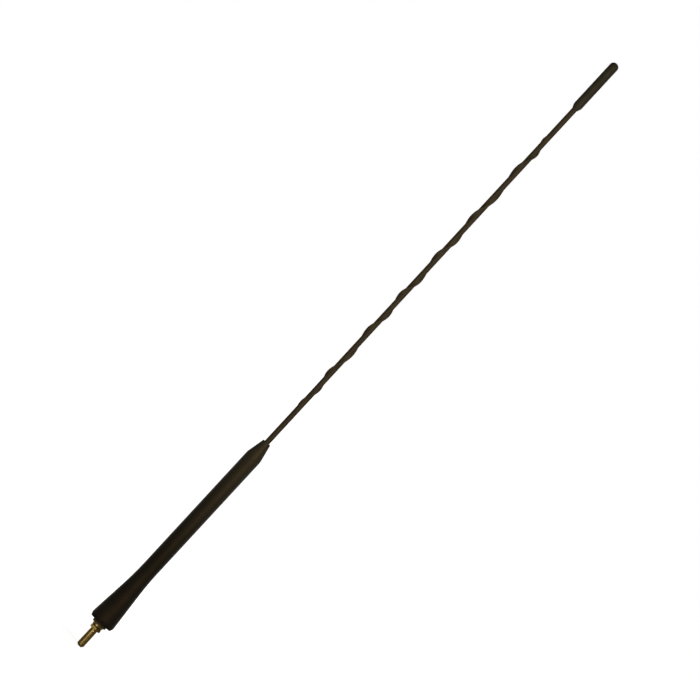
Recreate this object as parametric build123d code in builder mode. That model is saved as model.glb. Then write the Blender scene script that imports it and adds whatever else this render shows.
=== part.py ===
from build123d import *
import os
from math import cos, pi, radians, sin, tan

# Car mast aerial that screws upright into a roof base. Sizes are in millimetres and degrees.
# The origin is on the mast's axis, in the plane where the hexagon seats on the roof base.
# +Z runs up the mast to its tip, and -Y is the side that faces the viewer.

# Threaded stud, turned in one piece from hexagon bar
thread_diameter = 6.0
thread_length = 15.6
thread_tip_chamfer = 1.5
hex_sides = 6
hex_across_flats = 8.0
hex_height = 2.2
hex_turn = 40.0
hex_corner_bevel = 30.0
flange_diameter = 8.7
flange_height = 2.1
flange_bevel_height = 0.7
flange_rim_chamfer = 0.2
shank_diameter = 7.0
shank_height = 24.0
shank_across_flats = 5.6
shank_flat_height = 12.0
shank_flat_rise = 5.0
socket_depth = 16.0

# Seal collar that fills the gap between the flange and the boot
collar_diameter = 11.2
collar_height = 2.0

# Boot, moulded around the stud's shank, the rod and the end of the sleeve
boot_length = 170.2
boot_foot_diameter = 17.4
boot_rim_diameter = 19.35
boot_rim_rise = 2.5
boot_rim_round = 2.5
flare_height = 41.9
flare_blend_radius = 220.0
grip_diameter = 12.1
nose_length = 13.4
nose_shoulder_radius = 15.0
nose_tip_diameter = 6.3

# Whip: a steel rod in a close sleeve that carries the spiral ridge
rod_diameter = 3.0
sleeve_wall = 0.5
sleeve_entry = 12.0
whip_length = 314.8

# Spiral ridge on the sleeve, right-handed, and uneven because it was wound by hand
# Each value is the length along the mast of one half turn, from the lowest upwards
spiral_half_turns = (
    13.3, 14.6, 13.9, 19.4, 20.8, 16.4, 17.0, 15.9,
    20.8, 16.4, 20.1, 20.4, 24.3, 17.0, 11.5, 9.0,
)
spiral_bare_below = 23.3
spiral_bare_above = 20.7
spiral_run_in = 42.0
spiral_run_out = 26.0
ridge_height = 1.05
ridge_first_height = 0.5
ridge_first_rise = 13.0
ridge_crown_width = 0.7
ridge_shoulder_width = 1.65
ridge_shoulder_drop = 0.5
ridge_foot_width = 2.9
ridge_foot_sink = 1.1
guide_radius = 0.5
guide_steps_per_half_turn = 4
half_turn_angle = 180.0

# Tip cap, glued over the end of the whip
cap_diameter = 6.7
cap_length = 43.1
cap_mouth_diameter = 4.5
cap_shoulder_height = 3.0
cap_shoulder_round = 3.2
cap_bore_depth = 34.0
cap_clearance = 0.05

# Radii and heights that follow from the sizes above
thread_radius = thread_diameter / 2
hex_corner_radius = hex_across_flats / 2 / cos(pi / hex_sides)
hex_bevel_height = (hex_corner_radius - hex_across_flats / 2) * tan(radians(hex_corner_bevel))
shank_radius = shank_diameter / 2
rod_radius = rod_diameter / 2
sleeve_radius = rod_radius + sleeve_wall
ridge_radius = sleeve_radius + ridge_height
run_in_slope = (ridge_height - ridge_first_height) / (spiral_run_in - ridge_first_rise)
run_in_length = spiral_run_in + sleeve_wall / run_in_slope
cap_radius = cap_diameter / 2
cap_bore_radius = sleeve_radius + cap_clearance

flange_top = hex_height + flange_height
boot_bottom = flange_top + collar_height
boot_top = boot_bottom + boot_length
shank_top = boot_bottom + shank_height
rod_bottom = shank_top - socket_depth
sleeve_bottom = boot_top - sleeve_entry
cap_bottom = boot_top + whip_length
cap_top = cap_bottom + cap_length
whip_top = cap_bottom + cap_bore_depth
spiral_bottom = boot_top + spiral_bare_below
spiral_top = cap_bottom - spiral_bare_above

os.makedirs("parts", exist_ok=True)

# The stud: a bevelled hexagon first, then everything that the lathe leaves round
with BuildPart() as threaded_stud:
    with BuildSketch():
        RegularPolygon(hex_across_flats / 2, hex_sides, major_radius=False, rotation=hex_turn)
    extrude(amount=hex_height)
    with BuildSketch(Plane.XZ):
        with BuildLine():
            Polyline(
                (0, 0),
                (hex_across_flats / 2, 0),
                (hex_corner_radius, hex_bevel_height),
                (hex_corner_radius, hex_height - hex_bevel_height),
                (hex_across_flats / 2, hex_height),
                (0, hex_height),
                close=True,
            )
        make_face()
    revolve(axis=Axis.Z, mode=Mode.INTERSECT)
    with BuildSketch(Plane.XZ):
        with BuildLine():
            Polyline(
                (0, -thread_length),
                (thread_radius - thread_tip_chamfer, -thread_length),
                (thread_radius, thread_tip_chamfer - thread_length),
                (thread_radius, hex_height),
                (hex_across_flats / 2, hex_height),
                (flange_diameter / 2, hex_height + flange_bevel_height),
                (flange_diameter / 2, flange_top),
                (shank_radius, flange_top),
                (shank_radius, shank_top),
                (0, shank_top),
                close=True,
            )
        make_face()
    revolve(axis=Axis.Z)
    flange_rims = threaded_stud.edges().filter_by(GeomType.CIRCLE).group_by(SortBy.RADIUS)[-1]
    chamfer(flange_rims.sort_by(Axis.Z)[-1], length=flange_rim_chamfer)
    with BuildSketch(Plane.XY.offset(boot_bottom + shank_flat_rise)):
        Circle(shank_radius)
        Rectangle(shank_diameter, shank_across_flats, mode=Mode.SUBTRACT)
    extrude(amount=shank_flat_height, mode=Mode.SUBTRACT)
    with Locations((0, 0, shank_top)):
        Hole(rod_radius, depth=socket_depth)
threaded_stud.part.label = "threaded_stud"
export_step(threaded_stud.part, "parts/threaded_stud.step")

# The collar: a short ring on the shank, seated on the flange
with BuildPart() as seal_collar:
    with BuildSketch(Plane.XY.offset(flange_top)):
        Circle(collar_diameter / 2)
        Circle(shank_radius, mode=Mode.SUBTRACT)
    extrude(amount=collar_height)
seal_collar.part.label = "seal_collar"
export_step(seal_collar.part, "parts/seal_collar.step")

# The rod: the conductor, from the stud's socket to the inside of the cap
with BuildPart() as whip_rod:
    with BuildSketch(Plane.XY.offset(rod_bottom)):
        Circle(rod_radius)
    extrude(amount=whip_top - rod_bottom)
whip_rod.part.label = "whip_rod"
export_step(whip_rod.part, "parts/whip_rod.step")

# The boot: turned profile, less what it was moulded around
with BuildPart() as base_boot:
    with BuildSketch(Plane.XZ):
        with BuildLine():
            FilletPolyline(
                (0, boot_bottom),
                (boot_foot_diameter / 2, boot_bottom),
                (boot_rim_diameter / 2, boot_bottom + boot_rim_rise),
                (grip_diameter / 2, boot_bottom + flare_height),
                (grip_diameter / 2, boot_top - nose_length),
                (nose_tip_diameter / 2, boot_top),
                (0, boot_top),
                radius=(0, boot_rim_round, flare_blend_radius, nose_shoulder_radius, 0),
            )
            Line((0, boot_top), (0, boot_bottom))
        make_face()
    revolve(axis=Axis.Z)
    add(threaded_stud.part, mode=Mode.SUBTRACT)
    add(whip_rod.part, mode=Mode.SUBTRACT)
    with BuildSketch(Plane.XY.offset(sleeve_bottom)):
        Circle(sleeve_radius)
    extrude(amount=sleeve_entry, mode=Mode.SUBTRACT)
base_boot.part.label = "base_boot"
export_step(base_boot.part, "parts/base_boot.step")

# How the spiral was wound: degrees turned against height, eased through every half turn
winding_scale = (spiral_top - spiral_bottom) / sum(spiral_half_turns)
winding_heights = [spiral_bottom]
for half_turn in spiral_half_turns:
    winding_heights.append(winding_heights[-1] + half_turn * winding_scale)
with BuildLine() as winding:
    Spline(*[(half_turn_angle * count, height) for count, height in enumerate(winding_heights)])

# The guide turns beside the mast's axis as the spiral does, and steers the ridge's section
guide_points = []
guide_steps = guide_steps_per_half_turn * len(spiral_half_turns)
for step in range(guide_steps + 1):
    wound = winding.line @ (step / guide_steps)
    turned = radians(wound.X)
    guide_points.append((guide_radius * cos(turned), guide_radius * sin(turned), wound.Y))
with BuildLine() as spiral_guide:
    Spline(*guide_points)
with BuildLine() as spiral_axis:
    Line((0, 0, spiral_bottom), (0, 0, spiral_top))

# The sleeve: the ridge's section is swept up the axis, turned by the guide, and pared down
# at both ends by cones, then joined to the plain tube that lies close on the rod
with BuildPart() as whip_sleeve:
    with BuildSketch(Plane.XY.offset(spiral_bottom)):
        with BuildLine():
            Polyline(
                (sleeve_radius - ridge_foot_sink, 0),
                (sleeve_radius - ridge_foot_sink, ridge_foot_width / 2),
                (ridge_radius - ridge_shoulder_drop, ridge_shoulder_width / 2),
                (ridge_radius, ridge_crown_width / 2),
                (ridge_radius, 0),
            )
            mirror(about=Plane.XZ)
        make_face()
    sweep(path=spiral_axis.line, binormal=spiral_guide.line.edges()[0])
    with BuildSketch(Plane.XZ):
        with BuildLine():
            Polyline(
                (0, spiral_bottom),
                (rod_radius, spiral_bottom),
                (sleeve_radius + ridge_first_height, spiral_bottom + ridge_first_rise),
                (ridge_radius + sleeve_wall, spiral_bottom + run_in_length),
                (ridge_radius + sleeve_wall, spiral_top - spiral_run_out),
                (rod_radius, spiral_top),
                (0, spiral_top),
                close=True,
            )
        make_face()
    revolve(axis=Axis.Z, mode=Mode.INTERSECT)
    tube_plane = Plane(origin=(0, 0, sleeve_bottom), x_dir=(0, 1, 0), z_dir=(0, 0, 1))
    with BuildSketch(tube_plane):
        Circle(sleeve_radius)
    extrude(amount=whip_top - sleeve_bottom)
    with BuildSketch(tube_plane):
        Circle(rod_radius)
    extrude(amount=whip_top - sleeve_bottom, mode=Mode.SUBTRACT)
whip_sleeve.part.label = "whip_sleeve"
export_step(whip_sleeve.part, "parts/whip_sleeve.step")

# The cap: a rounded shoulder that tapers in to the sleeve, a straight wall and a round end
with BuildPart() as tip_cap:
    with BuildSketch(Plane.XZ):
        with BuildLine():
            FilletPolyline(
                (cap_mouth_diameter / 2, cap_bottom),
                (cap_radius, cap_bottom + cap_shoulder_height),
                (cap_radius, cap_top - cap_radius),
                radius=cap_shoulder_round,
            )
            TangentArc((cap_radius, cap_top - cap_radius), (0, cap_top), tangent=(0, 1))
            Polyline(
                (0, cap_top),
                (0, whip_top),
                (cap_bore_radius, whip_top),
                (cap_bore_radius, cap_bottom),
                (cap_mouth_diameter / 2, cap_bottom),
            )
        make_face()
    revolve(axis=Axis.Z)
tip_cap.part.label = "tip_cap"
export_step(tip_cap.part, "parts/tip_cap.step")
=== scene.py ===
"""The looks of a car mast aerial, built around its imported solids.

A brass stud screws into the roof, a moulded boot flares over it, and a steel whip in a black
sleeve with a spiral ridge runs from the boot to a round tip cap. Sizes are in millimetres and
degrees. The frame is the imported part's own: the origin lies on the mast's axis in the plane
where the hexagon seats, +Z runs up the mast and -Y is the side that faces the camera.
"""

import logging
from abc import ABC, abstractmethod
from collections.abc import Callable, Iterable, Sequence
from dataclasses import dataclass, field
from enum import Enum
from functools import partial
from math import ceil, cos, degrees, pi, radians, sin, tan, tau
from typing import ClassVar

import bmesh
import bpy
from mathutils import Matrix, Vector

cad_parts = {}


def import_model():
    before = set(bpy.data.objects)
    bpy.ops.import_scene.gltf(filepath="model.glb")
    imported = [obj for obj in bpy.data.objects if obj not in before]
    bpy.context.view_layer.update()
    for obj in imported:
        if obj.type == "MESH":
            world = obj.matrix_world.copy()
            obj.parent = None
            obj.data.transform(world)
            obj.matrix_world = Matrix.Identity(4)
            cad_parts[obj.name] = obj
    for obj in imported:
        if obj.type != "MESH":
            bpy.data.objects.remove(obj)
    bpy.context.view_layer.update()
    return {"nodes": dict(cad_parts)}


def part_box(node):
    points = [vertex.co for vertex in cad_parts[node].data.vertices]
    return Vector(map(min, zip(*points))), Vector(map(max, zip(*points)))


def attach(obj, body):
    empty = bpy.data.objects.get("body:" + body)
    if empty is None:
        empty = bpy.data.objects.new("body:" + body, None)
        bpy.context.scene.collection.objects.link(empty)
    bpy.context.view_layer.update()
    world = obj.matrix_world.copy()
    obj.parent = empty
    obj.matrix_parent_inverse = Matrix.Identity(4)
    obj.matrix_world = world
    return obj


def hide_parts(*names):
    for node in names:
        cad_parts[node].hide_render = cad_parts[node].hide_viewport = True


MM = 0.001
BODY = "root"
WHITE = "#ffffff"
WELD_MM = 0.001
CREASE_DEG = 30.0
ARC_STEP_DEG = 6.0
ARC_LEAST_STEPS = 3
ROUND_PROFILE = 0.5

# A grid of unit size, which runs half that to each side of its middle
UNIT_GRID = {"Size X": 1.0, "Size Y": 1.0}
GRID_HALF = 0.5

# Kinds of node that the trees use again and again
GRID = "GeometryNodeMeshGrid"
MAP_RANGE = "ShaderNodeMapRange"
MATH = "ShaderNodeMath"
MIX = "ShaderNodeMix"
NOISE = "ShaderNodeTexNoise"
SPLIT = "ShaderNodeSeparateXYZ"

# Sockets of a mix node, which share their names between kinds of value
MIX_SHARE = 0
NUMBER_A, NUMBER_B = 2, 3
COLOUR_A, COLOUR_B = 6, 7
COLOUR_MIXED = 2

# Octaves of a noise, and the spans of its values that a finish uses
COARSE_DETAIL = 3.0
FINE_DETAIL = 2.0
CLOUD_SPAN = {"From Min": 0.35, "From Max": 0.65}
PATCH_SPAN = {"From Min": 0.4, "From Max": 0.7}
FINE_SPAN = {"From Min": 0.3, "From Max": 0.7}

Ring = list[Vector]
Tree = bpy.types.NodeTree
Node = bpy.types.Node
Socket = bpy.types.NodeSocket
Setting = float | int | bpy.types.Material
Source = float | tuple[float, ...] | Node | Socket
Inputs = dict[str | int, Source] | tuple[Source, ...]

log = logging.getLogger("mast_aerial")


class Slot(Enum):
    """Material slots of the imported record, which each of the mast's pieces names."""

    STUD = "stud_brass"
    SEAL = "seal_rubber"
    BOOT = "boot_rubber"
    SLEEVE = "sleeve_plastic"
    CAP = "cap_plastic"


def linear(colour: str) -> tuple[float, float, float, float]:
    """Turns an sRGB hex colour into the linear RGBA that shaders work in.

    Args:
        colour: Six hex digits after a hash sign.

    Returns:
        Red, green, blue and alpha.
    """
    channels = [int(colour[at : at + 2], 16) / 255 for at in (1, 3, 5)]
    red, green, blue = (c / 12.92 if c <= 0.04045 else ((c + 0.055) / 1.055) ** 2.4 for c in channels)
    return red, green, blue, 1.0


def add_node(tree: Tree, kind: str, inputs: Inputs = (), **settings: object) -> Node:
    """Adds a node, sets its properties, and fills or links its inputs.

    Args:
        tree: Shader or geometry tree that gets the node.
        kind: Identifier of the node's type.
        inputs: What each socket gets, by its name or index or else in order: a value, a socket to
            link, or a node whose first output is linked.
        **settings: Properties of the node.

    Returns:
        The new node.
    """
    node = tree.nodes.new(kind)
    for name, value in settings.items():
        setattr(node, name, value)
    for key, value in inputs.items() if isinstance(inputs, dict) else enumerate(inputs):
        if isinstance(value, Node):
            value = value.outputs[0]
        if isinstance(value, Socket):
            tree.links.new(value, node.inputs[key])
        else:
            node.inputs[key].default_value = value
    return node


def fresh_tree(owner: bpy.types.Material | bpy.types.World) -> Tree:
    """Gives a new material or world an empty node tree.

    Args:
        owner: Material or world.

    Returns:
        Its tree.
    """
    owner.use_nodes = True
    owner.node_tree.nodes.clear()
    return owner.node_tree


def add_object(name: str, data: bpy.types.ID) -> bpy.types.Object:
    """Adds an object to the scene.

    Args:
        name: Name of the object.
        data: Its mesh, light or camera.

    Returns:
        The new object.
    """
    thing = bpy.data.objects.new(name, data)
    bpy.context.scene.collection.objects.link(thing)
    return thing


def lay_over(tree: Tree, shader: Node, share: Node, colour: str) -> None:
    """Lays a second colour over the one that a shader already has.

    Args:
        tree: Material's tree.
        shader: Shader whose base colour is linked.
        share: How much of the second colour shows.
        colour: Second colour, as sRGB hex.
    """
    base = shader.inputs["Base Color"]
    tones = {COLOUR_A: base.links[0].from_socket, COLOUR_B: linear(colour)}
    mixed = add_node(tree, MIX, {MIX_SHARE: share, **tones}, data_type="RGBA")
    tree.links.new(mixed.outputs[COLOUR_MIXED], base)


def bend(node: Node, points: Sequence[tuple[float, float]], smooth: bool) -> None:
    """Shapes a float curve node.

    Args:
        node: Float curve node, which starts with its two end points.
        points: Curve's points, from first to last.
        smooth: Whether it eases through its points, and doesn't run straight between them.
    """
    curve = node.mapping.curves[0]
    for place in points[1:-1]:
        curve.points.new(*place)
    for knot, place in zip(curve.points, points, strict=True):
        knot.location = place
        knot.handle_type = "AUTO" if smooth else "VECTOR"
    node.mapping.update()


@dataclass(frozen=True)
class Finish(ABC):
    """What a surface is made of and how it was made."""

    name: str
    colour: str
    roughness: tuple[float, float]
    gloss: float

    def material(self) -> bpy.types.Material:
        """Makes the material, with the pattern of its kind on one shader.

        Returns:
            The new material.
        """
        material = bpy.data.materials.new(self.name)
        tree = fresh_tree(material)
        shader = add_node(tree, "ShaderNodeBsdfPrincipled")
        add_node(tree, "ShaderNodeOutputMaterial", {"Surface": shader})
        place = add_node(tree, "ShaderNodeTexCoord").outputs["Object"]
        self.paint(tree, shader, place)
        return material

    @abstractmethod
    def paint(self, tree: Tree, shader: Node, place: Socket) -> None:
        """Adds the finish's pattern to the shader.

        Args:
            tree: Material's tree.
            shader: Principled shader that gets colour, roughness and relief.
            place: Object coordinates, in metres.
        """

    def mottle(
        self, tree: Tree, shader: Node, place: Socket, size: float, second: str, span: dict[str, float]
    ) -> None:
        """Gives the shader its colour, with a second tone in soft patches.

        Args:
            tree: Material's tree.
            shader: Principled shader that gets the colour.
            place: Object coordinates, in metres.
            size: Spacing of the patches, in millimetres.
            second: Second tone, as sRGB hex.
            span: Values of the patches' noise between which the tone changes.
        """
        pattern = {"Scale": 1 / (size * MM), "Detail": COARSE_DETAIL}
        patches = add_node(tree, NOISE, {"Vector": place, **pattern})
        share = add_node(tree, MAP_RANGE, {"Value": patches, **span})
        tones = {COLOUR_A: linear(self.colour), COLOUR_B: linear(second)}
        mixed = add_node(tree, MIX, {MIX_SHARE: share, **tones}, data_type="RGBA")
        tree.links.new(mixed.outputs[COLOUR_MIXED], shader.inputs["Base Color"])

    def roughen(self, tree: Tree, shader: Node, place: Node | Socket, size: float, depth: float) -> None:
        """Gives the shader its gloss, and the roughness and relief of a fine pattern.

        Args:
            tree: Material's tree.
            shader: Principled shader that gets them.
            place: Coordinates of the pattern, in metres.
            size: Spacing of the pattern, in millimetres.
            depth: Depth of the pattern, in millimetres.
        """
        low, high = self.roughness
        pattern = {"Scale": 1 / (size * MM), "Detail": FINE_DETAIL}
        fine = add_node(tree, NOISE, {"Vector": place, **pattern})
        matt = add_node(tree, MAP_RANGE, {"Value": fine, **FINE_SPAN, "To Min": low, "To Max": high})
        relief = add_node(tree, "ShaderNodeBump", {"Height": fine, "Distance": depth * MM})
        tree.links.new(matt.outputs[0], shader.inputs["Roughness"])
        tree.links.new(relief.outputs[0], shader.inputs["Normal"])
        shader.inputs["Specular IOR Level"].default_value = self.gloss


@dataclass(frozen=True)
class Moulded(Finish):
    """Rubber or plastic from a spark-eroded mould, faintly clouded and finely pitted."""

    bloom: str
    cloud: float
    grain: float
    grain_depth: float
    sheen: str

    def paint(self, tree: Tree, shader: Node, place: Socket) -> None:
        """Clouds the colour with a faint bloom and pits the surface with the mould's grain.

        Args:
            tree: Material's tree.
            shader: Principled shader that gets colour, roughness and relief.
            place: Object coordinates, in metres.
        """
        self.mottle(tree, shader, place, self.cloud, self.bloom, CLOUD_SPAN)
        self.roughen(tree, shader, place, self.grain, self.grain_depth)
        shader.inputs["Specular Tint"].default_value = linear(self.sheen)


@dataclass(frozen=True)
class PaintedLightMoulding(Moulded):
    """Moulding with a paler tone painted on towards its top, as painted light where more light falls."""

    painted_light_tone: str
    painted_light_span: tuple[float, float]

    def paint(self, tree: Tree, shader: Node, place: Socket) -> None:
        """Lays the painted light, a paler tone, over the moulded one, more of it with height.

        Args:
            tree: Material's tree.
            shader: Principled shader that gets colour, roughness and relief.
            place: Object coordinates, in metres.
        """
        super().paint(tree, shader, place)
        low, high = self.painted_light_span
        # Painted light: the tone turns paler with height, where more light falls on the boot
        height = add_node(tree, SPLIT, (place,)).outputs["Z"]
        share = add_node(tree, MAP_RANGE, {"Value": height, "From Min": low * MM, "From Max": high * MM})
        lay_over(tree, shader, share, self.painted_light_tone)


@dataclass(frozen=True)
class DrawnStreaks(Finish):
    """A surface drawn or turned past a tool, whose fine lines run one way over a change of tone."""

    tarnish: str
    patch: float
    line: float
    line_depth: float
    stretch: tuple[float, float, float]
    metallic: float

    def paint(self, tree: Tree, shader: Node, place: Socket) -> None:
        """Lays the tool's lines over patches of a second tone.

        Args:
            tree: Material's tree.
            shader: Principled shader that gets colour, roughness and relief.
            place: Object coordinates, in metres.
        """
        self.mottle(tree, shader, place, self.patch, self.tarnish, PATCH_SPAN)
        drawn = add_node(tree, "ShaderNodeMapping", {"Vector": place, "Scale": self.stretch})
        self.roughen(tree, shader, drawn, self.line, self.line_depth)
        shader.inputs["Metallic"].default_value = self.metallic


@dataclass(frozen=True)
class ShadedGrooveStreaks(DrawnStreaks):
    """Turned metal with a painted shade darkening one groove."""

    groove_shade: str
    groove_shade_span: tuple[float, float]

    def paint(self, tree: Tree, shader: Node, place: Socket) -> None:
        """Lays a painted shade over the turned tone between two heights.

        Args:
            tree: Material's tree.
            shader: Principled shader that gets colour, roughness and relief.
            place: Object coordinates, in metres.
        """
        super().paint(tree, shader, place)
        low, high = self.groove_shade_span
        height = add_node(tree, SPLIT, (place,)).outputs["Z"]
        middle, reach = (low + high) / 2 * MM, (high - low) / 2 * MM
        # Painted shade: the band between the two heights, where the groove under the flange lies, is
        # darkened
        packed = add_node(tree, MATH, (height, middle, reach), operation="COMPARE")
        lay_over(tree, shader, packed, self.groove_shade)


@dataclass(frozen=True)
class Corner:
    """A corner of a turned outline, and the radius that rounds it."""

    radius: float
    height: float
    rounding: float = 0.0

    @property
    def at(self) -> Vector:
        """The corner's place in the outline's plane."""
        return Vector((self.radius, self.height))

    def rounded(self, before: Vector, after: Vector) -> list[Vector]:
        """Traces the corner as an arc that leaves both of its sides smoothly.

        Args:
            before: Corner that the outline comes from.
            after: Corner that the outline goes on to.

        Returns:
            Points along the arc, or the corner itself where it is sharp.
        """
        if self.rounding == 0:
            return [self.at]
        back, on = (before - self.at).normalized(), (after - self.at).normalized()
        half = back.angle(on) / 2
        centre = self.at + (back + on).normalized() * self.rounding / sin(half)
        first = self.at + back * self.rounding / tan(half) - centre
        last = self.at + on * self.rounding / tan(half) - centre
        swept = first.angle(last)
        steps = max(ARC_LEAST_STEPS, ceil(degrees(swept) / ARC_STEP_DEG))
        shares = [step / steps for step in range(steps + 1)]
        return [
            centre + (first * sin((1 - share) * swept) + last * sin(share * swept)) / sin(swept)
            for share in shares
        ]


def outline(corners: Sequence[Corner], longest_run: float, closed: bool = True) -> list[Vector]:
    """Traces corners into the points of a turned outline.

    Args:
        corners: Corners in order, up the outside of the piece and down its inside.
        longest_run: Length past which a straight side is divided.
        closed: Whether the last corner joins the first.

    Returns:
        Points as radius and height.
    """
    traced: list[Vector] = []
    for index, corner in enumerate(corners):
        after = corners[(index + 1) % len(corners)]
        traced += corner.rounded(corners[index - 1].at, after.at)
    points: list[Vector] = []
    for index, point in enumerate(traced):
        points.append(point)
        if index + 1 < len(traced) or closed:
            onward = traced[(index + 1) % len(traced)]
            parts = ceil((onward - point).length / longest_run)
            points += [point.lerp(onward, part / parts) for part in range(1, parts)]
    return points


def turned(points: Iterable[Vector], columns: int, start_deg: float = 0.0) -> list[Ring]:
    """Turns an outline about the mast's axis.

    Args:
        points: Outline as radius and height.
        columns: Points in each ring.
        start_deg: Angle of each ring's first point.

    Returns:
        One ring for each point, of a single point where the outline meets the axis.
    """
    angles = [radians(start_deg) + tau * column / columns for column in range(columns)]
    return [
        [Vector((radius * cos(a), radius * sin(a), height)) for a in (angles if radius > 0 else [0.0])]
        for radius, height in points
    ]


def skin(build: bmesh.types.BMesh, rings: Sequence[Ring], closed: bool = False) -> None:
    """Joins rings into a surface that faces away from the axis where the rings run upwards.

    Args:
        build: Mesh under construction, in metres.
        rings: Rings of equal length, or of one point where the surface closes on the axis.
        closed: Whether the last ring joins the first.
    """
    loops = [[build.verts.new(point * MM) for point in ring] for ring in rings]
    pairs = list(zip(loops, loops[1:])) + ([(loops[-1], loops[0])] if closed else [])
    for low, high in pairs:
        count = max(len(low), len(high))
        for here in range(count):
            beside = (here + 1) % count
            corners = [(low, here), (low, beside), (high, beside), (high, here)]
            build.faces.new(dict.fromkeys(loop[at % len(loop)] for loop, at in corners))


def finished(build: bmesh.types.BMesh, name: str) -> bpy.types.Mesh:
    """Welds a mesh, shades it smooth between its sharp edges and frees the construction.

    Args:
        build: Mesh under construction.
        name: Name of the mesh.

    Returns:
        The finished mesh.
    """
    bmesh.ops.remove_doubles(build, verts=build.verts, dist=WELD_MM * MM)
    for face in build.faces:
        face.smooth = True
    for edge in build.edges:
        edge.smooth = not edge.is_manifold or edge.calc_face_angle() < radians(CREASE_DEG)
    mesh = bpy.data.meshes.new(name)
    build.to_mesh(mesh)
    build.free()
    return mesh


class Rule:
    """A Geometry Nodes tree that grows a mesh by a rule, with its sizes as named inputs."""

    sockets: ClassVar[dict[type, str]] = {
        float: "NodeSocketFloat",
        int: "NodeSocketInt",
        bpy.types.Material: "NodeSocketMaterial",
    }

    def __init__(self, name: str, sizes: dict[str, Setting]) -> None:
        """Makes the tree and its inputs.

        Args:
            name: Name of the tree.
            sizes: Input's name and value, lengths in metres and angles in radians.
        """
        self.tree = bpy.data.node_groups.new(name, "GeometryNodeTree")
        face = self.tree.interface
        face.new_socket("Geometry", in_out="INPUT", socket_type="NodeSocketGeometry")
        self.values: dict[str, Setting] = {}
        for label, value in sizes.items():
            socket = face.new_socket(label, in_out="INPUT", socket_type=self.sockets[type(value)])
            self.values[socket.identifier] = value
        face.new_socket("Geometry", in_out="OUTPUT", socket_type="NodeSocketGeometry")
        self.add: Callable[..., Node] = partial(add_node, self.tree)
        self.size = self.add("NodeGroupInput").outputs

    def flat(self) -> tuple[Socket, Socket]:
        """Gives where each point lies across and along its grid."""
        parts = self.add(SPLIT, (self.add("GeometryNodeInputPosition"),)).outputs
        return parts["X"], parts["Y"]

    def place(self, grid: Node, radius: Source, angle: Source, height: Source) -> Node:
        """Wraps a grid round the axis.

        Args:
            grid: Mesh that is placed.
            radius: Distance of each point from the axis.
            angle: Angle of each point about the axis.
            height: Height of each point.

        Returns:
            Node that gives the placed mesh.
        """
        flat = self.add("ShaderNodeCombineXYZ", {0: radius, 2: height})
        turn = {"Vector": flat, "Angle": angle}
        wrapped = self.add("ShaderNodeVectorRotate", turn, rotation_type="Z_AXIS")
        return self.add("GeometryNodeSetPosition", {"Geometry": grid, "Position": wrapped})

    def end(self, *parts: Node | Socket) -> None:
        """Welds the grown parts into one smooth mesh, creased at its sharp edges, with its material.

        Args:
            *parts: Nodes or sockets that give the parts.
        """
        add = self.add
        join = add("GeometryNodeJoinGeometry")
        for part in parts:
            self.tree.links.new(part.outputs[0] if isinstance(part, Node) else part, join.inputs[0])
        weld = add("GeometryNodeMergeByDistance", {"Geometry": join, "Distance": WELD_MM * MM})
        smooth = add("GeometryNodeSetShadeSmooth", {"Geometry": weld, "Shade Smooth": True})
        fold = add("GeometryNodeInputMeshEdgeAngle")
        sharp = add(MATH, (fold, radians(CREASE_DEG)), operation="GREATER_THAN")
        crease = {"Geometry": smooth, "Selection": sharp, "Shade Smooth": False}
        creased = add("GeometryNodeSetShadeSmooth", crease, domain="EDGE")
        real = add("GeometryNodeRealizeInstances", {"Geometry": creased})
        dressed = add("GeometryNodeSetMaterial", {"Geometry": real, "Material": self.size["Material"]})
        add("NodeGroupOutput", {"Geometry": dressed})

    def grow(self, base: bpy.types.Mesh) -> bpy.types.Mesh:
        """Runs the tree on a mesh.

        Args:
            base: Mesh that the grown parts join, which may be empty.

        Returns:
            The grown mesh, with nothing live on it.
        """
        source = add_object(self.tree.name, base)
        modifier = source.modifiers.new(self.tree.name, "NODES")
        modifier.node_group = self.tree
        for identifier, value in self.values.items():
            modifier[identifier] = value
        depsgraph = bpy.context.evaluated_depsgraph_get()
        grown = bpy.data.meshes.new_from_object(source.evaluated_get(depsgraph), depsgraph=depsgraph)
        source.modifiers.remove(modifier)
        bpy.data.objects.remove(source)
        return grown


@dataclass
class Piece(ABC):
    """A piece of the mast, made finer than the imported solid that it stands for."""

    name: ClassVar[str]
    node: ClassVar[str]
    slot: ClassVar[Slot]
    finish: Finish
    columns: int = 96

    def __post_init__(self) -> None:
        """Takes the piece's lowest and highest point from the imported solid."""
        low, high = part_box(self.node)
        self.bottom: float = low.z / MM
        self.top: float = high.z / MM

    @abstractmethod
    def build(self, material: bpy.types.Material) -> bpy.types.Mesh:
        """Builds the piece's mesh in place and gives it its material.

        Args:
            material: Material that the mesh gets.

        Returns:
            The piece's mesh.
        """

    def fit(self) -> None:
        """Builds the piece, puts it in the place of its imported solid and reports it."""
        mesh = self.build(self.finish.material())
        piece = add_object(self.name, mesh)
        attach(piece, BODY)
        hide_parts(self.node)
        log.info("%s: %d faces, %s", self.name, len(mesh.polygons), self.finish.name)


@dataclass
class Turning(Piece):
    """A piece of one turned outline."""

    longest_run: float = 4.0

    @abstractmethod
    def corners(self) -> list[Corner]:
        """Gives the outline's corners, up the outside and down the inside."""

    def build(self, material: bpy.types.Material) -> bpy.types.Mesh:
        """Turns the outline about the mast's axis.

        Args:
            material: Material that the mesh gets.

        Returns:
            The piece's mesh.
        """
        corners = self.corners()
        closed = corners[0].radius > 0
        build = bmesh.new()
        skin(build, turned(outline(corners, self.longest_run, closed), self.columns), closed)
        mesh = finished(build, self.name)
        mesh.materials.append(material)
        return mesh


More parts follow.
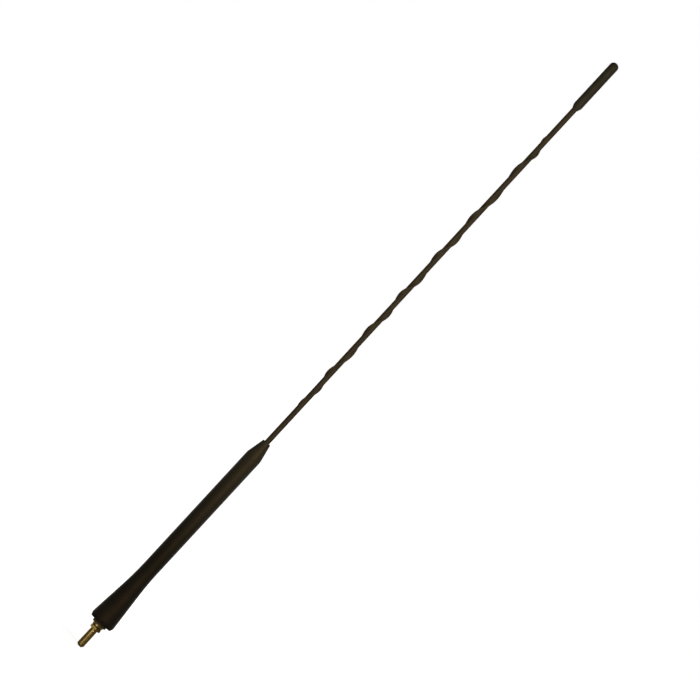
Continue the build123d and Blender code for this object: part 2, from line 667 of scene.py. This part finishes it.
@dataclass
class BaseBoot(Turning):
    """Flared boot, moulded round the stud's shank, the rod and the end of the sleeve."""

    name: ClassVar[str] = "boot"
    node: ClassVar[str] = "base_boot"
    slot: ClassVar[Slot] = Slot.BOOT
    foot_radius: float = 8.7
    foot_rounding: float = 0.08
    rim_radius: float = 9.675
    rim_rise: float = 2.5
    rim_rounding: float = 2.5
    flare_height: float = 41.9
    flare_rounding: float = 220.0
    grip_radius: float = 6.05
    nose_length: float = 13.4
    nose_rounding: float = 15.0
    tip_radius: float = 3.15
    tip_rounding: float = 0.2
    shank_radius: float = 3.5
    shank_height: float = 24.0
    rod_radius: float = 1.5
    sleeve_radius: float = 2.0
    sleeve_entry: float = 12.0

    def corners(self) -> list[Corner]:
        """Runs from the foot up the flare and grip to the nose, and down the bore.

        Returns:
            Outline's corners.
        """
        shank_top = self.bottom + self.shank_height
        entry = self.top - self.sleeve_entry
        return [
            Corner(self.foot_radius, self.bottom, self.foot_rounding),
            Corner(self.rim_radius, self.bottom + self.rim_rise, self.rim_rounding),
            Corner(self.grip_radius, self.bottom + self.flare_height, self.flare_rounding),
            Corner(self.grip_radius, self.top - self.nose_length, self.nose_rounding),
            Corner(self.tip_radius, self.top, self.tip_rounding),
            Corner(self.sleeve_radius, self.top),
            Corner(self.sleeve_radius, entry),
            Corner(self.rod_radius, entry),
            Corner(self.rod_radius, shank_top),
            Corner(self.shank_radius, shank_top),
            Corner(self.shank_radius, self.bottom),
        ]


@dataclass
class SealCollar(Turning):
    """Soft ring between the stud's flange and the boot."""

    name: ClassVar[str] = "collar"
    node: ClassVar[str] = "seal_collar"
    slot: ClassVar[Slot] = Slot.SEAL
    radius: float = 5.6
    rounding: float = 0.2
    bore_radius: float = 3.5

    def corners(self) -> list[Corner]:
        """Runs up the ring's outside and down its bore.

        Returns:
            Outline's corners.
        """
        return [
            Corner(self.radius, self.bottom, self.rounding),
            Corner(self.radius, self.top, self.rounding),
            Corner(self.bore_radius, self.top),
            Corner(self.bore_radius, self.bottom),
        ]


@dataclass
class TipCap(Turning):
    """Round-ended cap, glued over the end of the whip."""

    name: ClassVar[str] = "cap"
    node: ClassVar[str] = "tip_cap"
    slot: ClassVar[Slot] = Slot.CAP
    mouth_radius: float = 2.25
    mouth_rounding: float = 0.08
    shoulder_height: float = 3.0
    shoulder_rounding: float = 3.2
    radius: float = 3.35
    end_rounding: float = 3.349
    bore_radius: float = 2.05
    bore_depth: float = 34.0

    def corners(self) -> list[Corner]:
        """Runs from the bore's end down to the mouth, then up the shoulder and wall to the round end.

        Returns:
            Outline's corners.
        """
        bore_top = self.bottom + self.bore_depth
        return [
            Corner(0.0, bore_top),
            Corner(self.bore_radius, bore_top),
            Corner(self.bore_radius, self.bottom),
            Corner(self.mouth_radius, self.bottom, self.mouth_rounding),
            Corner(self.radius, self.bottom + self.shoulder_height, self.shoulder_rounding),
            Corner(self.radius, self.top, self.end_rounding),
            Corner(0.0, self.top),
        ]


@dataclass
class ThreadedStud(Piece):
    """Stud turned from hexagon bar: thread, hexagon, flange and a shank inside the boot.

    The thread is slimmer and shallower than a true M6 one, to keep the thin outline and the
    almost unbroken streak of light that the photograph shows.
    """

    name: ClassVar[str] = "stud"
    node: ClassVar[str] = "threaded_stud"
    slot: ClassVar[Slot] = Slot.STUD
    thread_radius: float = 2.78
    thread_pitch: float = 1.0
    thread_depth: float = 0.1
    crest_share: float = 0.84
    root_share: float = 0.04
    rows_per_pitch: int = 14
    tip_chamfer: float = 1.4
    relief_length: float = 1.0
    relief_slope: float = 0.15
    hex_sides: int = 6
    hex_across_flats: float = 8.0
    hex_height: float = 2.2
    hex_turn: float = 40.0
    hex_bevel: float = 30.0
    hex_edge_round: float = 0.5
    hex_edge_segments: int = 3
    flange_radius: float = 4.35
    flange_height: float = 2.1
    flange_bevel_height: float = 0.7
    flange_rounding: float = 0.15
    undercut_radius: float = 3.8
    undercut_height: float = 0.3
    shank_radius: float = 3.5
    shank_flat_reach: float = 2.8
    shank_flat_bottom: float = 11.3
    shank_flat_height: float = 12.0
    socket_radius: float = 1.5
    socket_depth: float = 16.0

    @property
    def root_radius(self) -> float:
        """Radius at the bottom of the thread."""
        return self.thread_radius - self.thread_depth

    @property
    def tip_radius(self) -> float:
        """Radius of the flat at the stud's end."""
        return self.thread_radius - self.tip_chamfer

    def turned_rings(self, *corners: Corner) -> list[Ring]:
        """Turns an open outline on the hexagon's own columns."""
        return turned(outline(corners, self.hex_height, closed=False), self.columns, self.hex_turn)

    def hexagon(self) -> list[Ring]:
        """Gives the hexagon's rings, whose corners a cone has bevelled at both ends.

        Returns:
            Lower and upper ring.
        """
        inner = self.hex_across_flats / 2
        low: Ring = []
        high: Ring = []
        for column in range(self.columns):
            angle = tau * column / self.columns
            off_flat = angle % (tau / self.hex_sides) - pi / self.hex_sides
            reach = inner / cos(off_flat)
            bevel = (reach - inner) * tan(radians(self.hex_bevel))
            turn = angle + radians(self.hex_turn)
            low.append(Vector((reach * cos(turn), reach * sin(turn), bevel)))
            high.append(Vector((reach * cos(turn), reach * sin(turn), self.hex_height - bevel)))
        return [low, high]

    def flattened(self, height: float) -> Ring:
        """Gives the shank's ring where two flats stop it from turning in the boot.

        Args:
            height: Height of the ring.

        Returns:
            The ring.
        """
        angles = [radians(self.hex_turn) + tau * column / self.columns for column in range(self.columns)]
        flat_from = self.shank_flat_reach / self.shank_radius
        reaches = [self.shank_flat_reach / max(abs(sin(a)), flat_from) for a in angles]
        return [Vector((reach * cos(a), reach * sin(a), height)) for reach, a in zip(reaches, angles)]

    def body(self) -> bpy.types.Mesh:
        """Builds all but the thread: the end's flat, and from the hexagon up to the rod's socket.

        Returns:
            The body's mesh.
        """
        inner = self.hex_across_flats / 2
        flange_top = self.hex_height + self.flange_height
        flat_top = self.shank_flat_bottom + self.shank_flat_height
        build = bmesh.new()
        skin(build, self.turned_rings(Corner(0.0, self.bottom), Corner(self.tip_radius, self.bottom)))
        rings = self.turned_rings(Corner(self.root_radius, 0.0), Corner(inner, 0.0))
        rings += self.hexagon()
        rings += self.turned_rings(
            Corner(inner, self.hex_height),
            Corner(self.undercut_radius, self.hex_height),
            Corner(self.undercut_radius, self.hex_height + self.undercut_height),
            Corner(self.flange_radius, self.hex_height + self.flange_bevel_height, self.flange_rounding),
            Corner(self.flange_radius, flange_top, self.flange_rounding),
            Corner(self.shank_radius, flange_top),
            Corner(self.shank_radius, self.shank_flat_bottom),
        )
        rings += [self.flattened(self.shank_flat_bottom), self.flattened(flat_top)]
        rings += self.turned_rings(
            Corner(self.shank_radius, flat_top),
            Corner(self.shank_radius, self.top),
            Corner(self.socket_radius, self.top),
            Corner(self.socket_radius, self.top - self.socket_depth),
            Corner(0.0, self.top - self.socket_depth),
        )
        skin(build, rings)
        bmesh.ops.remove_doubles(build, verts=build.verts, dist=WELD_MM * MM)
        self.round_hexagon(build)
        return finished(build, self.name)

    def round_hexagon(self, build: bmesh.types.BMesh) -> None:
        """Rounds the hexagon's upright edges a little, as drawn bar has them.

        Args:
            build: Stud's mesh under construction.
        """
        corner_radius = self.hex_across_flats / 2 / cos(pi / self.hex_sides) * MM
        upright = [
            edge
            for edge in build.edges
            if all(abs(v.co.xy.length - corner_radius) < WELD_MM * MM for v in edge.verts)
        ]
        bmesh.ops.bevel(
            build,
            geom=upright,
            offset=self.hex_edge_round * MM,
            segments=self.hex_edge_segments,
            profile=ROUND_PROFILE,
            affect="EDGES",
        )

    def build(self, material: bpy.types.Material) -> bpy.types.Mesh:
        """Winds the thread on by Geometry Nodes and joins it to the turned body.

        Args:
            material: Material that the mesh gets.

        Returns:
            The piece's mesh.
        """
        rule = Rule(
            "stud_thread",
            {
                "Tip": self.bottom * MM,
                "Top": 0.0,
                "Crest Radius": self.thread_radius * MM,
                "Root Radius": self.root_radius * MM,
                "Tip Radius": self.tip_radius * MM,
                "Relief": self.relief_length * MM,
                "Relief Slope": self.relief_slope,
                "Pitch": self.thread_pitch * MM,
                "Crest Share": self.crest_share,
                "Root Share": self.root_share,
                "Start Angle": radians(self.hex_turn),
                "Columns": self.columns,
                "Rows per Pitch": self.rows_per_pitch,
                "Material": material,
            },
        )
        add, size = rule.add, rule.size
        tip, pitch, per_pitch = size["Tip"], size["Pitch"], size["Rows per Pitch"]
        length = add(MATH, (size["Top"], tip), operation="SUBTRACT")
        turns = add(MATH, (length, pitch), operation="DIVIDE")
        rows_needed = add(MATH, (turns, per_pitch, per_pitch), operation="MULTIPLY_ADD")
        rows = add(MATH, (rows_needed,), operation="CEIL")
        points_across = add(MATH, (size["Columns"], 1.0), operation="ADD")
        points_along = add(MATH, (rows, 1.0), operation="ADD")
        grid = add(GRID, {**UNIT_GRID, "Vertices X": points_across, "Vertices Y": points_along})
        across, along = rule.flat()
        around = add(MATH, (across, GRID_HALF), operation="ADD")
        upward = add(MATH, (along, GRID_HALF), operation="ADD")
        row = add(MATH, (upward, rows), operation="MULTIPLY")
        turn = add(MATH, (row, per_pitch), operation="DIVIDE")
        wound = add(MATH, (turn, around), operation="ADD")
        climbed = add(MATH, (wound, 1.0), operation="SUBTRACT")
        endless = add(MATH, (climbed, pitch, tip), operation="MULTIPLY_ADD")
        height = add("ShaderNodeClamp", {"Value": endless, "Min": tip, "Max": size["Top"]})
        angle = add(MATH, (around, tau, size["Start Angle"]), operation="MULTIPLY_ADD")
        rule.end(rule.place(grid, self.profile(rule, turn, height), angle, height), size["Geometry"])
        return rule.grow(self.body())

    def profile(self, rule: Rule, turn: Node, height: Node) -> Node:
        """Works out the radius of the thread, which the tip's chamfer and the relief cut away.

        Args:
            rule: Rule that gets the nodes.
            turn: Turns of the thread, a crest in the middle of each.
            height: Height of each point.

        Returns:
            Least radius of the thread, the chamfer and the relief.
        """
        add, size = rule.add, rule.size
        crest, root = size["Crest Radius"], size["Root Radius"]
        part = add(MATH, (turn,), operation="FRACT")
        swing = add(MATH, (part, 2.0, -1.0), operation="MULTIPLY_ADD")
        off_crest = add(MATH, (swing,), operation="ABSOLUTE")
        root_from = add(MATH, (1.0, size["Root Share"]), operation="SUBTRACT")
        flanks = {"From Min": size["Crest Share"], "From Max": root_from, "To Min": crest, "To Max": root}
        thread = add(MAP_RANGE, {"Value": off_crest, **flanks})
        above_tip = add(MATH, (height, size["Tip"]), operation="SUBTRACT")
        chamfer = add(MATH, (size["Tip Radius"], above_tip), operation="ADD")
        relief_bottom = add(MATH, (size["Top"], size["Relief"]), operation="SUBTRACT")
        below = add(MATH, (relief_bottom, height), operation="SUBTRACT")
        below_or_none = add(MATH, (below, 0.0), operation="MAXIMUM")
        relief = add(MATH, (below_or_none, size["Relief Slope"], root), operation="MULTIPLY_ADD")
        ends = add(MATH, (chamfer, relief), operation="MINIMUM")
        return add(MATH, (thread, ends), operation="MINIMUM")


@dataclass
class WhipSleeve(Piece):
    """Sleeve shrunk over the rod and over a cord that was wound round it by hand."""

    name: ClassVar[str] = "sleeve"
    node: ClassVar[str] = "whip_sleeve"
    slot: ClassVar[Slot] = Slot.SLEEVE
    lining_rows: ClassVar[int] = 4
    lining_edge: ClassVar[float] = 0.3
    columns: int = 64
    ring_spacing: float = 0.6
    radius: float = 2.0
    bore_radius: float = 1.5
    cord_radius: float = 0.92
    ridge_height: float = 1.05
    spiral_bottom: float = 199.8
    half_turns: tuple[float, ...] = (
        13.3, 14.6, 13.9, 19.4, 20.8, 16.4, 17.0, 15.9,
        20.8, 16.4, 20.1, 20.4, 24.3, 17.0, 11.5, 9.0,
    )
    first_rise: float = 13.0
    first_share: float = 0.476
    run_in: float = 42.0
    run_out: float = 21.0

    def winding(self) -> list[tuple[float, float]]:
        """Gives the share of all turns made at each share of the spiral's length.

        Returns:
            Shares of the length and of the turns.
        """
        length = sum(self.half_turns)
        count = len(self.half_turns)
        return [(sum(self.half_turns[:made]) / length, made / count) for made in range(count + 1)]

    def rise(self) -> list[tuple[float, float]]:
        """Gives how far the cord stands out along the spiral, as shares.

        Returns:
            Shares of the spiral's length and of the cord's full height.
        """
        length = sum(self.half_turns)
        return [
            (0.0, 0.0),
            (self.first_rise / length, self.first_share),
            (self.run_in / length, 1.0),
            (1 - self.run_out / length, 1.0),
            (1.0, 0.0),
        ]

    def build(self, material: bpy.types.Material) -> bpy.types.Mesh:
        """Wraps a grid round the rod by Geometry Nodes and lifts it over the wound cord.

        Args:
            material: Material that the mesh gets.

        Returns:
            The piece's mesh.
        """
        rule = Rule(
            "spiral_sleeve",
            {
                "Bottom": self.bottom * MM,
                "Top": self.top * MM,
                "Radius": self.radius * MM,
                "Bore Radius": self.bore_radius * MM,
                "Cord Radius": self.cord_radius * MM,
                "Cord Offset": (self.radius + self.ridge_height - self.cord_radius) * MM,
                "Spiral Bottom": self.spiral_bottom * MM,
                "Spiral Top": (self.spiral_bottom + sum(self.half_turns)) * MM,
                "Half Turns": float(len(self.half_turns)),
                "Columns": self.columns,
                "Rings": ceil((self.top - self.bottom) / self.ring_spacing),
                "Material": material,
            },
        )
        add, size = rule.add, rule.size
        across, along = rule.flat()
        around = add(MATH, (across, tau), operation="MULTIPLY")
        ends = {"To Min": size["Bottom"], "To Max": size["Top"]}
        height = add(MAP_RANGE, {"Value": along, "From Min": -GRID_HALF, "From Max": GRID_HALF, **ends})
        spiral = {"From Min": size["Spiral Bottom"], "From Max": size["Spiral Top"]}
        share = add(MAP_RANGE, {"Value": height, **spiral})
        wound = add("ShaderNodeFloatCurve", {"Value": share}, label="how the cord was wound")
        bend(wound, self.winding(), smooth=True)
        lift = add("ShaderNodeFloatCurve", {"Value": share}, label="how far it stands out")
        bend(lift, self.rise(), smooth=False)
        made = add(MATH, (wound, size["Half Turns"]), operation="MULTIPLY")
        angle = add(MATH, (made, pi, around), operation="MULTIPLY_ADD")
        proud = add(MATH, (self.stretched(rule, around), size["Radius"]), operation="SUBTRACT")
        radius = add(MATH, (proud, lift, size["Radius"]), operation="MULTIPLY_ADD")
        points_across = add(MATH, (size["Columns"], 1.0), operation="ADD")
        grid = add(GRID, {**UNIT_GRID, "Vertices X": points_across, "Vertices Y": size["Rings"]})
        outside = rule.place(grid, radius, angle, height)
        # The lining's outer two rows close the sleeve's ends, and its inner two run down the bore
        off_middle = add(MATH, (along,), operation="ABSOLUTE")
        at_end = add(MATH, (off_middle, self.lining_edge), operation="GREATER_THAN")
        at_top = add(MATH, (along, 0.0), operation="LESS_THAN")
        bore = add(MIX, {MIX_SHARE: at_end, NUMBER_A: size["Bore Radius"], NUMBER_B: size["Radius"]})
        level = add(MIX, {MIX_SHARE: at_top, NUMBER_A: size["Bottom"], NUMBER_B: size["Top"]})
        strip = add(GRID, {**UNIT_GRID, "Vertices X": points_across, "Vertices Y": self.lining_rows})
        rule.end(outside, rule.place(strip, bore, around, level))
        return rule.grow(bpy.data.meshes.new(self.name))

    def stretched(self, rule: Rule, around: Node) -> Node:
        """Works out the tight outline of a sleeve round the rod and the cord.

        Args:
            rule: Rule that gets the nodes.
            around: Angle from the cord's direction.

        Returns:
            Outline's radius: an arc over the cord, straight sides, and the rod's own round.
        """
        add, size = rule.add, rule.size
        rod, cord, offset = size["Radius"], size["Cord Radius"], size["Cord Offset"]
        away = add(MATH, (around,), operation="ABSOLUTE")
        sine = add(MATH, (away,), operation="SINE")
        cosine = add(MATH, (away,), operation="COSINE")
        thicker = add(MATH, (rod, cord), operation="SUBTRACT")
        lean_cosine = add(MATH, (thicker, offset), operation="DIVIDE")
        lean = add(MATH, (lean_cosine,), operation="ARCCOSINE")
        off_lean = add(MATH, (away, lean), operation="SUBTRACT")
        off_lean_cosine = add(MATH, (off_lean,), operation="COSINE")
        side = add(MATH, (rod, off_lean_cosine), operation="DIVIDE")
        off_cord = add(MATH, (sine, offset), operation="MULTIPLY")
        off_cord_square = add(MATH, (off_cord, off_cord), operation="MULTIPLY")
        cord_square = add(MATH, (cord, cord), operation="MULTIPLY")
        inside = add(MATH, (cord_square, off_cord_square), operation="SUBTRACT")
        inside_or_none = add(MATH, (inside, 0.0), operation="MAXIMUM")
        reach = add(MATH, (inside_or_none,), operation="SQRT")
        crown = add(MATH, (cosine, offset, reach), operation="MULTIPLY_ADD")
        lean_sine = add(MATH, (lean,), operation="SINE")
        edge_aside = add(MATH, (cord, lean_sine), operation="MULTIPLY")
        edge_out = add(MATH, (cord, lean_cosine, offset), operation="MULTIPLY_ADD")
        crown_edge = add(MATH, (edge_aside, edge_out), operation="ARCTAN2")
        on_side = add(MATH, (away, lean), operation="LESS_THAN")
        on_crown = add(MATH, (away, crown_edge), operation="LESS_THAN")
        beside = add(MIX, {MIX_SHARE: on_side, NUMBER_A: rod, NUMBER_B: side})
        return add(MIX, {MIX_SHARE: on_crown, NUMBER_A: beside, NUMBER_B: crown})


@dataclass(frozen=True)
class SoftBox:
    """A rectangular light that faces the mast, at an azimuth from the camera's side towards +X."""

    name: str
    azimuth: float
    distance: float
    height: float
    aim_height: float
    width: float
    length: float
    watts: float
    colour: str = WHITE

    def hang(self) -> None:
        """Adds the light, out of the camera's sight."""
        light = bpy.data.lights.new(self.name, "AREA")
        light.shape = "RECTANGLE"
        light.size = self.width * MM
        light.size_y = self.length * MM
        light.energy = self.watts
        light.color = linear(self.colour)[:3]
        lamp = add_object(self.name, light)
        turn = radians(self.azimuth)
        place = Vector((sin(turn) * self.distance, -cos(turn) * self.distance, self.height))
        aim = Vector((0.0, 0.0, self.aim_height)) - place
        facing = aim.to_track_quat("-Z", "Y").to_matrix().to_4x4()
        lamp.matrix_world = Matrix.Translation(place * MM) @ facing
        lamp.visible_camera = False


def reflected(tree: Tree, path: bpy.types.NodeOutputs) -> Node:
    """Tells whether a ray was reflected or came through something clear."""
    return add_node(tree, MATH, (path["Is Glossy Ray"], path["Is Transmission Ray"]), operation="MAXIMUM")


@dataclass
class Studio:
    """Pale floor, white surroundings, soft lights and the photograph's camera.

    Attributes:
        floor_height: Height of the floor.
        floor_reach: Radius of the floor.
        floor_sides: Sides of its rim.
        floor_colour: Its tone to the camera.
        floor_bounce: Darker tone by which it lights the mast.
        floor_lift: Its own glow near the mast, low enough to keep the shadow.
        shadow_reach: Distances between which that glow rises to white.
        ambient: Strength of the light from all round.
        front_gloss: Brightness that reflections find in front of the mast.
        back_span: How squarely backwards a reflection looks as it turns white, as cosines.
        lens: Camera's focal length.
        sensor: Width of the camera's sensor.
        frame_pixels: Width of the photograph.
        pixel_size: Size of one of its pixels at the mast.
        clip_factor: How many times as far as the mast the camera sees.
        mast_rise: Slope of the mast in the frame.
        aim_side: Place across the mast that the camera looks at.
        aim_height: Height that it looks at.
        lights: Lights round the mast.
    """

    floor_height: float
    floor_reach: float = 30000.0
    floor_sides: int = 64
    floor_colour: str = "#f1f0ec"
    floor_bounce: str = "#5a5956"
    floor_lift: float = 0.64
    shadow_reach: tuple[float, float] = (120.0, 400.0)
    ambient: float = 0.12
    front_gloss: float = 0.055
    back_span: tuple[float, float] = (0.6, 0.98)
    lens: float = 300.0
    sensor: float = 36.0
    frame_pixels: int = 700
    pixel_size: float = 0.694
    clip_factor: float = 100.0
    mast_rise: float = 47.27
    aim_side: float = -1.24
    aim_height: float = 262.8
    lights: list[SoftBox] = field(
        default_factory=lambda: [
            SoftBox(
                "key_light",
                azimuth=17.0, distance=420.0, height=370.0, aim_height=320.0,
                width=260.0, length=500.0, watts=1.95,
            ),
            SoftBox(
                "back_light",
                azimuth=175.0, distance=1000.0, height=1300.0, aim_height=250.0,
                width=600.0, length=600.0, watts=6.0,
            ),
            SoftBox(
                "stud_card",
                azimuth=-15.0, distance=40.0, height=0.0, aim_height=0.0,
                width=8.0, length=31.0, watts=0.002, colour="#e6e9ff",
            ),
            SoftBox(
                "facet_card",
                azimuth=-41.0, distance=60.0, height=-3.0, aim_height=-3.0,
                width=20.0, length=9.0, watts=0.0004, colour="#fffad7",
            ),
        ]
    )

    def lay_floor(self) -> None:
        """Lays the floor, white to the eye and behind the mast, with the mast's shadow on it."""
        material = bpy.data.materials.new("matt_paper_floor")
        tree = fresh_tree(material)
        path = add_node(tree, "ShaderNodeLightPath").outputs
        place = add_node(tree, "ShaderNodeTexCoord").outputs["Object"]
        depth = add_node(tree, SPLIT, (place,)).outputs["Y"]
        distance = add_node(tree, "ShaderNodeVectorMath", (place,), operation="LENGTH").outputs["Value"]
        near, far = (reach * MM for reach in self.shadow_reach)
        rise = {"From Min": near, "From Max": far, "To Min": self.floor_lift, "To Max": 1.0}
        lift = add_node(tree, MAP_RANGE, {"Value": distance, **rise})
        backdrop = {"From Min": 0.0, "From Max": far, "To Min": self.front_gloss, "To Max": 1.0}
        behind = add_node(tree, MAP_RANGE, {"Value": depth, **backdrop})
        felt = add_node(tree, MIX, {MIX_SHARE: reflected(tree, path), NUMBER_A: 0.0, NUMBER_B: behind})
        shown = add_node(tree, MIX, {MIX_SHARE: path["Is Camera Ray"], NUMBER_A: felt, NUMBER_B: lift})
        tones = {COLOUR_A: linear(self.floor_bounce), COLOUR_B: linear(self.floor_colour)}
        tone = add_node(tree, MIX, {MIX_SHARE: path["Is Camera Ray"], **tones}, data_type="RGBA")
        paper = add_node(tree, "ShaderNodeBsdfDiffuse", {"Color": tone.outputs[COLOUR_MIXED]})
        glow = add_node(tree, "ShaderNodeEmission", {"Strength": shown})
        both = add_node(tree, "ShaderNodeAddShader", (paper, glow))
        add_node(tree, "ShaderNodeOutputMaterial", {"Surface": both})
        build = bmesh.new()
        bmesh.ops.create_circle(
            build, cap_ends=True, segments=self.floor_sides, radius=self.floor_reach * MM
        )
        bmesh.ops.translate(build, verts=build.verts, vec=(0.0, 0.0, self.floor_height * MM))
        mesh = bpy.data.meshes.new("floor")
        build.to_mesh(mesh)
        build.free()
        mesh.materials.append(material)
        floor = add_object("floor", mesh)

    def surround(self) -> None:
        """Makes the world white to the eye and behind the mast, and dim for light and reflections."""
        world = bpy.data.worlds.new("white_studio")
        tree = fresh_tree(world)
        path = add_node(tree, "ShaderNodeLightPath").outputs
        facing = add_node(tree, "ShaderNodeTexCoord").outputs["Generated"]
        depth = add_node(tree, SPLIT, (facing,)).outputs["Y"]
        low, high = self.back_span
        backdrop = {"From Min": low, "From Max": high, "To Min": self.front_gloss, "To Max": 1.0}
        behind = add_node(tree, MAP_RANGE, {"Value": depth, **backdrop})
        felt = add_node(
            tree, MIX, {MIX_SHARE: reflected(tree, path), NUMBER_A: self.ambient, NUMBER_B: behind}
        )
        seen = add_node(tree, MIX, {MIX_SHARE: path["Is Camera Ray"], NUMBER_A: felt, NUMBER_B: 1.0})
        sky = add_node(tree, "ShaderNodeBackground", {"Color": linear(WHITE), "Strength": seen})
        add_node(tree, "ShaderNodeOutputWorld", {"Surface": sky})
        bpy.context.scene.world = world

    def aim_camera(self) -> None:
        """Sets a long lens square to the mast and rolls it as the photograph was taken."""
        data = bpy.data.cameras.new("photo_camera")
        data.lens = self.lens
        data.sensor_width = self.sensor
        distance = self.frame_pixels * self.pixel_size * self.lens / self.sensor
        data.clip_end = self.clip_factor * distance * MM
        rise = radians(self.mast_rise)
        right = Vector((sin(rise), 0.0, cos(rise)))
        up = Vector((-cos(rise), 0.0, sin(rise)))
        turn = Matrix((right, up, right.cross(up))).transposed().to_4x4()
        place = Vector((self.aim_side, -distance, self.aim_height)) * MM
        camera = add_object("photo_camera", data)
        camera.matrix_world = Matrix.Translation(place) @ turn
        bpy.context.scene.camera = camera

    def set_up(self) -> None:
        """Builds the floor, the surroundings, the lights and the camera."""
        self.lay_floor()
        self.surround()
        for light in self.lights:
            light.hang()
        self.aim_camera()
        bpy.context.scene.view_settings.view_transform = "Standard"
        log.info("studio: %d lights", len(self.lights))


def dress_rod(node: bpy.types.Object, finish: Finish) -> None:
    """Gives the rod, which stays as packed inside the other pieces, its own finish.

    Args:
        node: Packed rod.
        finish: Finish that it gets.
    """
    node.data.materials.clear()
    node.data.materials.append(finish.material())
    log.info("%s: packed solid, %s", node.name, finish.name)


# Moulded EPDM: near black with a warm bloom, satin, with a paler browner tone painted on towards the nose
# as painted light
# The mould's grain is drawn coarser than the real one, so that it shows
BOOT_RUBBER = PaintedLightMoulding(
    name="moulded_epdm_rubber",
    colour="#1e1b14",
    roughness=(0.42, 0.5),
    bloom="#231f17",
    cloud=9.0,
    grain=0.5,
    grain_depth=0.05,
    gloss=0.16,
    sheen="#e6b070",
    painted_light_tone="#322d20",
    painted_light_span=(56.0, 165.0),
)

# Moulded nitrile: a dusty dark brown with no shine, paler than the boot that keeps it in shade
SEAL_RUBBER = Moulded(
    name="moulded_nitrile_rubber",
    colour="#5f5236",
    roughness=(0.7, 0.85),
    bloom="#67593b",
    cloud=3.0,
    grain=0.6,
    grain_depth=0.04,
    gloss=0.08,
    sheen=WHITE,
)

# Moulded polypropylene: a duller black, paler than the boot's foot, its grain drawn coarse to show
CAP_PLASTIC = Moulded(
    name="moulded_polypropylene",
    colour="#302b1f",
    roughness=(0.5, 0.62),
    bloom="#363023",
    cloud=7.0,
    grain=0.45,
    grain_depth=0.03,
    gloss=0.1,
    sheen="#f0d8b8",
)

# Heat-shrunk polyolefin: brownish black, with streaks along it from its extrusion, drawn wide to show
SLEEVE_PLASTIC = DrawnStreaks(
    name="shrunk_polyolefin",
    colour="#372d1b",
    roughness=(0.5, 0.65),
    tarnish="#3e331f",
    patch=8.0,
    line=0.4,
    line_depth=0.02,
    stretch=(1.0, 1.0, 0.03),
    metallic=0.0,
    gloss=0.1,
)

# Turned brass, dulled brown by handling: rings from the lathe run round it, and a painted shade
# darkens the groove under the flange
STUD_BRASS = ShadedGrooveStreaks(
    name="turned_brass",
    colour="#bc9e58",
    roughness=(0.22, 0.3),
    tarnish="#a88c50",
    patch=5.0,
    line=0.12,
    line_depth=0.002,
    stretch=(0.03, 0.03, 1.0),
    metallic=1.0,
    gloss=0.5,
    groove_shade="#4a3822",
    groove_shade_span=(2.2, 2.9),
)

# Cold-drawn steel: grey with fine lines along its length
ROD_STEEL = DrawnStreaks(
    name="drawn_steel",
    colour="#8d8f92",
    roughness=(0.25, 0.4),
    tarnish="#75777a",
    patch=6.0,
    line=0.1,
    line_depth=0.008,
    stretch=(1.0, 1.0, 0.01),
    metallic=1.0,
    gloss=0.5,
)


def main() -> None:
    """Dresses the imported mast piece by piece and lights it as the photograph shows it."""
    logging.basicConfig(level=logging.INFO, format="%(name)s: %(message)s")
    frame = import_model()
    stud = ThreadedStud(STUD_BRASS)
    for piece in (
        stud,
        SealCollar(SEAL_RUBBER),
        BaseBoot(BOOT_RUBBER),
        WhipSleeve(SLEEVE_PLASTIC),
        TipCap(CAP_PLASTIC),
    ):
        piece.fit()
    dress_rod(frame["nodes"]["whip_rod"], ROD_STEEL)
    Studio(floor_height=stud.bottom).set_up()


if __name__ == "__main__":
    main()
